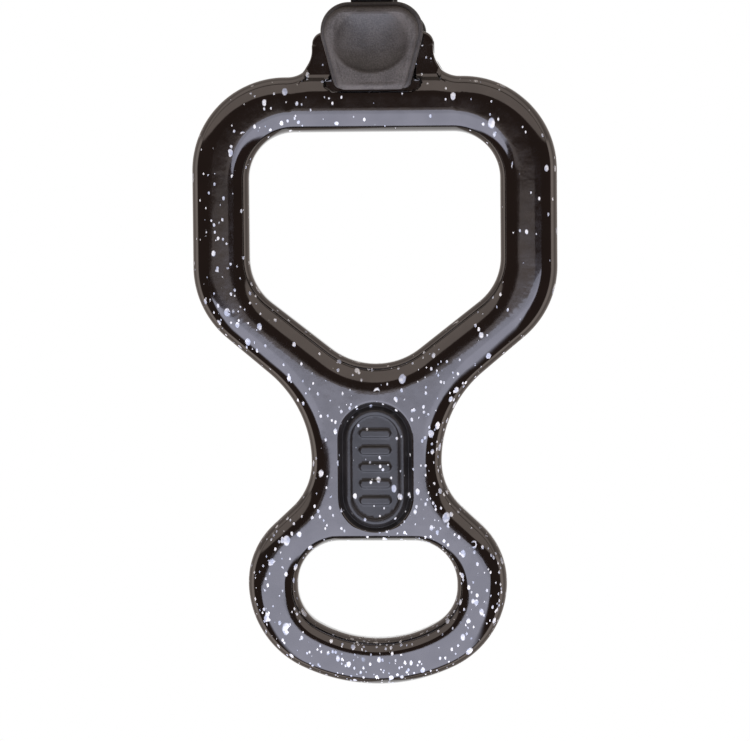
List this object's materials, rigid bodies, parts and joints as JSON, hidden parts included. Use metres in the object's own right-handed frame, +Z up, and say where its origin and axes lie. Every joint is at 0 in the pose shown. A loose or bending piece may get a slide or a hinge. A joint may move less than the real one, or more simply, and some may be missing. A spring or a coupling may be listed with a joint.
{
  "type": "figure eight descender",
  "caption": "Figure eight rope descender with a squared big ring, an oval eye, and a sprung keeper hook with a dished thumb gate on its neck.",
  "frame": {"origin": "middle of the keeper hook's inner top, where it hangs on a carabiner", "axes": "+Z up along the descender's length, +Y toward its back, +X to the right as seen from the thumb pad's side"},
  "size_m": [0.0782, 0.0236, 0.168],
  "materials": {
    "lacquered_alloy": "glossy near-black lacquer with fine pale flecks over forged alloy",
    "black_nylon": "moulded, satin",
    "grey_plastic": "moulded with a fine matte grain",
    "steel": "turned and ground"
  },
  "bodies": {
    "frame": {"descender_body": "lacquered_alloy", "keeper_hook": "black_nylon", "gate_pin": "steel", "hook_pin": "steel", "gate_spring": "steel"},
    "gate": {"gate_arm": "black_nylon", "pad_frame": "grey_plastic", "thumb_pad": "grey_plastic", "pad_screw_upper": "steel", "pad_screw_lower": "steel"},
    "follower": {"spring_follower": "steel"}
  },
  "joints": [
    {"name": "gate_hinge", "type": "hinge", "parent": "frame", "child": "gate", "pos_m": [0, -0.00215, -0.0274], "axis": [-1, 0, 0], "range_deg": [0, 28], "stiffness_Nm_per_rad": 0.05, "springref_deg": -17.19},
    {"name": "follower_slide", "type": "slide", "parent": "frame", "child": "follower", "axis": [0, 0, -1], "range_m": [0, 0.0022], "deforming": ["gate_spring"]}
  ],
  "couplings": [
    {"joint": "follower_slide", "follows": "gate_hinge", "m_per_rad": 0.0045}
  ]
}
